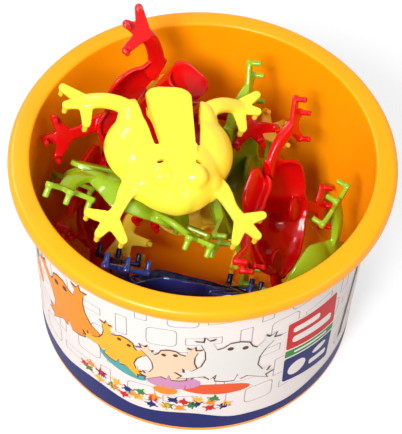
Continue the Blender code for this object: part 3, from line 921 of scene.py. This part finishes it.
# %% Outline tiles
TILE_ACROSS = 16.0
TILE_UP = 15.0
TILE_LINE = 0.4
TILE_LEAN = -0.12
TILES_BOTTOM = 26.0
TILES_TOP = 90.0
TILES_HALF_LENGTH = 196.0
# Width, height and corner radius of each kind of tile
TILE_FORMS = ((14.0, 5.0, 0.5), (5.0, 13.0, 0.5), (12.0, 12.0, 2.4))


def framed(outline, line):
    """Outline of a closed band of a width, which follows a form and comes back inside it."""
    middle_x = sum(x for x, _ in outline) / len(outline)
    middle_y = sum(y for _, y in outline) / len(outline)
    reach_x = max(x for x, _ in outline) - middle_x
    reach_y = max(y for _, y in outline) - middle_y
    shrink_x = 1 - line / reach_x
    shrink_y = 1 - line / reach_y
    inner = [
        (middle_x + (x - middle_x) * shrink_x, middle_y + (y - middle_y) * shrink_y)
        for x, y in outline
    ]
    return [*outline, outline[0], inner[0], *reversed(inner)]


tiles = []
row = 0
y = TILES_BOTTOM
while y < TILES_TOP:
    x = -TILES_HALF_LENGTH + (row % 2) * TILE_ACROSS / 2
    column = 0
    while x < TILES_HALF_LENGTH:
        width, height, radius = TILE_FORMS[(column + 2 * row) % len(TILE_FORMS)]
        tiles.append(framed(round_box(x, y, width, height, radius, TILE_LEAN), TILE_LINE))
        x += TILE_ACROSS
        column += 1
    y += TILE_UP
    row += 1
printed("ground_tiles", tiles, "grey", TILE_LAYER)
print("tiles:", len(tiles))

# %% [markdown]
# The picture area in the middle shows what the toy does: four large frogs seen from above, with
# plain leaves of colour under and beside them, and a scatter of small ones that have jumped along
# the foot. One silhouette serves them all, drawn as a half outline and mirrored.

# %% Frog silhouettes
# Right half of a frog from above, nose first, as shares of its half length
FROG_HALF_SHARES = (
    (0.00, 1.00),
    (0.26, 0.94),
    (0.40, 0.72),
    (0.56, 0.62),
    (0.74, 0.94),
    (0.66, 1.16),
    (0.84, 1.04),
    (1.00, 1.18),
    (0.98, 0.96),
    (1.22, 0.94),
    (1.02, 0.80),
    (0.84, 0.46),
    (0.76, 0.10),
    (0.80, -0.30),
    (1.02, -0.62),
    (1.24, -0.52),
    (1.18, -0.74),
    (1.42, -0.80),
    (1.20, -0.94),
    (1.30, -1.12),
    (1.02, -0.98),
    (0.62, -0.80),
    (0.44, -0.94),
    (0.30, -0.66),
    (0.28, -1.00),
    (0.00, -1.04),
)


def silhouette(x, y, half_length, turn_deg):
    """Outline of a frog from above, turned about its middle."""
    left = [(-across, along) for across, along in reversed(FROG_HALF_SHARES[1:-1])]
    return turned((*FROG_HALF_SHARES, *left), x, y, half_length, turn_deg)


# Large frogs: place along and up the label, half length, turn and ink
LARGE_FROGS = (
    (-55.0, 58.0, 15.5, 22.0, "orange"),
    (-29.5, 52.5, 11.0, -22.0, "amber"),
    (-7.0, 52.0, 11.4, 12.0, "sand"),
    (15.5, 55.0, 14.6, -10.0, "mist"),
)
# Leaves: place, width, height, turn and ink
LEAVES = (
    (-28.0, 40.0, 22.0, 8.0, -22.0, "teal"),
    (-7.0, 38.5, 22.0, 10.0, 8.0, "pink"),
    (10.0, 34.5, 28.0, 8.0, -4.0, "vermilion"),
    (-10.0, 31.6, 10.0, 6.4, 4.0, "orange"),
    (-83.0, 66.0, 7.0, 16.0, 14.0, "green"),
    (-80.0, 52.0, 7.0, 14.0, 20.0, "orange"),
)
# Both eyes and their size, as shares of the half length
EYE_SHARES = ((0.20, 0.66), (-0.20, 0.66))
EYE_SIZE_SHARE = 0.17
EDGE_WIDTH = 0.7


def frog_eyes(x, y, half_length, turn_deg):
    """Two round eyes on a silhouette."""
    size = half_length * EYE_SIZE_SHARE
    return [ellipse(*eye, size, size) for eye in turned(EYE_SHARES, x, y, half_length, turn_deg)]


for number, (*row, name) in enumerate(LEAVES, 1):
    printed(f"leaf_{number:02d}", twice([ellipse(*row)]), name, LEAF_LAYER)
eyes = []
# Each large frog has two layers of its own, so none shows through its neighbour
for number, (*row, name) in enumerate(LARGE_FROGS, 1):
    layer = LEAF_LAYER - 1 + 2 * number
    printed(f"large_frog_edge_{number:02d}", twice([silhouette(*row)]), "brown", layer)
    x, y, half_length, turn_deg = row
    inner = silhouette(x, y, half_length - EDGE_WIDTH, turn_deg)
    printed(f"large_frog_{number:02d}", twice([inner]), name, layer + 1)
    eyes += frog_eyes(*row)
printed("large_frog_eyes", twice(eyes), "brown", layer + 2)
print("large frogs:", len(LARGE_FROGS))

# %% [markdown]
# The small frogs are so small that a silhouette is enough. Sines scatter them along a row, and each
# one turns on by the golden angle, so neighbours differ and yet nothing is left to chance.

# %% Small frogs along the foot
SMALL_HALF_LENGTH = 2.0
SMALL_COUNT = 30
SMALL_INKS = ("red", "green", "navy", "orange", "amber")
SMALL_INK_STRIDE = 3
# Where the row starts, how long it is and how high it lies
SMALL_START = -47.0
SMALL_RUN = 62.0
SMALL_LEVEL = 22.6
# Size of each stray from the row, and its turn from frog to frog in radians
STRAY_ALONG = (2.0, 2.3)
STRAY_UP = (3.6, 1.7)
ROW_ARCH = 1.2
GOLDEN_TURN_DEG = 137.508
small = {name: [] for name in SMALL_INKS}
for number in range(SMALL_COUNT):
    share = number / (SMALL_COUNT - 1)
    x = SMALL_START + SMALL_RUN * share + STRAY_ALONG[0] * math.sin(number * STRAY_ALONG[1])
    y = SMALL_LEVEL + STRAY_UP[0] * math.sin(number * STRAY_UP[1])
    y += ROW_ARCH * math.cos(math.tau * share)
    name = SMALL_INKS[number * SMALL_INK_STRIDE % len(SMALL_INKS)]
    small[name].append(silhouette(x, y, SMALL_HALF_LENGTH, number * GOLDEN_TURN_DEG))
for name, outlines in small.items():
    printed(f"small_frogs_{name}", twice(outlines), name, BACK_LAYER)
print("small frogs:", SMALL_COUNT)

# %% [markdown]
# ## Camera, floor and light
# The camera looks down at the tub from the front, a little rolled. Its place is worked out from a
# distance, an elevation and the point looked at, so it can be moved by plain measures.

# %% Camera
LONG_SIDE_PX = 434
SENSOR_MM = 36.0
FOCAL_PX = 1605.4
DISTANCE = 615.4 * MM
ELEVATION_DEG = 51.09
ROLL_DEG = 3.20
# The point looked at, in the middle of the view
AIM = Vector((0.44, 0.0, TUB_HEIGHT - 42.45)) * MM

elevation = math.radians(ELEVATION_DEG)
eye = Vector((0.0, -DISTANCE * math.cos(elevation), DISTANCE * math.sin(elevation)))
eye.z += TUB_HEIGHT * MM
gaze = (AIM - eye).normalized()
right = gaze.cross(Vector((0, 0, 1))).normalized()
up = right.cross(gaze)
roll = math.radians(ROLL_DEG)
right_rolled = right * math.cos(roll) + up * math.sin(roll)
up_rolled = up * math.cos(roll) - right * math.sin(roll)
lens = bpy.data.cameras.new("camera")
lens.sensor_width = SENSOR_MM
lens.lens = FOCAL_PX * SENSOR_MM / LONG_SIDE_PX
camera = add_object("camera", lens)
camera.matrix_world = Matrix.Translation(eye) @ (
    Matrix((right_rolled, up_rolled, -gaze)).transposed().to_4x4()
)
bpy.context.scene.camera = camera
print("lens:", round(lens.lens, 1), "mm")

# %% [markdown]
# The floor is plain paper that keeps the toy's shadow. It looks white to the camera and in gloss,
# but a part of that white is a glow that only those rays see. To all others the paper is a middle
# grey, so it throws little light up at the toy.

# %% Floor
WHITE = (1.0, 1.0, 1.0, 1.0)
FLOOR_SIZE_M = 6.0
FLOOR_TONE = 0.4
FLOOR_ROUGHNESS = 0.9
FLOOR_SPECULAR = 0.2


def seen_rays(tree):
    """One for rays that see the background straight, in a reflection or through a piece."""
    path = add_node(tree, "ShaderNodeLightPath").outputs
    pair = {0: path["Is Camera Ray"], 1: path["Is Glossy Ray"]}
    either = add_node(tree, "ShaderNodeMath", pair, operation="MAXIMUM").outputs[0]
    pair = {0: either, 1: path["Is Transmission Ray"]}
    return add_node(tree, "ShaderNodeMath", pair, operation="MAXIMUM").outputs[0]


def by_ray(tree, lit, seen):
    """One strength for the rays that light the toy, another for those that see the background."""
    mix = add_node(tree, "ShaderNodeMix", {0: seen_rays(tree)}, data_type="FLOAT")
    mix.inputs[2].default_value = lit
    mix.inputs[3].default_value = seen
    return mix.outputs[0]


bpy.ops.mesh.primitive_plane_add(size=FLOOR_SIZE_M)
floor = bpy.context.object
floor.name = "floor"
white, tree, paper = new_surface("white_backdrop_paper")
set_inputs(paper, Base_Color=(FLOOR_TONE, FLOOR_TONE, FLOOR_TONE, 1.0), Emission_Color=WHITE)
set_inputs(paper, Roughness=FLOOR_ROUGHNESS, Specular_IOR_Level=FLOOR_SPECULAR)
tree.links.new(by_ray(tree, 0.0, 1.0 - FLOOR_TONE), paper.inputs["Emission Strength"])
floor.data.materials.append(white)
print("floor:", FLOOR_SIZE_M, "m")

# %% [markdown]
# The main light is a soft panel high at the front on the left, which draws the highlights on the
# frogs and the shade inside the tub. A weak one behind on the left picks out the rim, and a broad
# weak one on the right lifts the shade. The surrounding adds an even level, as a pale room does.
# Together they are plain enough that each colour comes out about as it is written.

# %% Light
# In metres and watts: name, place, size, power, and share of the highlights
LIGHTS = (
    ("key_light", (-0.34, -0.74, 0.90), (0.34, 0.34), 16.5, 1.0),
    ("back_light", (-0.60, 0.50, 0.75), (0.40, 0.20), 4.0, 1.0),
    ("side_fill", (0.95, -0.35, 0.80), (0.80, 0.60), 5.0, 0.3),
)
TUB_MIDDLE_M = Vector((0.0, 0.0, 0.06))
AMBIENT = 0.30

for name, place, size, power, highlights in LIGHTS:
    light = bpy.data.lights.new(name, "AREA")
    light.shape = "RECTANGLE"
    light.size, light.size_y = size
    light.energy = power
    light.specular_factor = highlights
    lamp = add_object(name, light)
    lamp.location = place
    lamp.rotation_euler = (TUB_MIDDLE_M - Vector(place)).to_track_quat("-Z", "Y").to_euler()

world = bpy.data.worlds.new("surrounding")
bpy.context.scene.world = world
world.use_nodes = True
tree = world.node_tree
background = tree.nodes["Background"]
set_inputs(background, Color=WHITE)
tree.links.new(by_ray(tree, AMBIENT, 1.0), background.inputs["Strength"])
bpy.context.scene.view_settings.view_transform = "Standard"
print("lights:", len(LIGHTS))
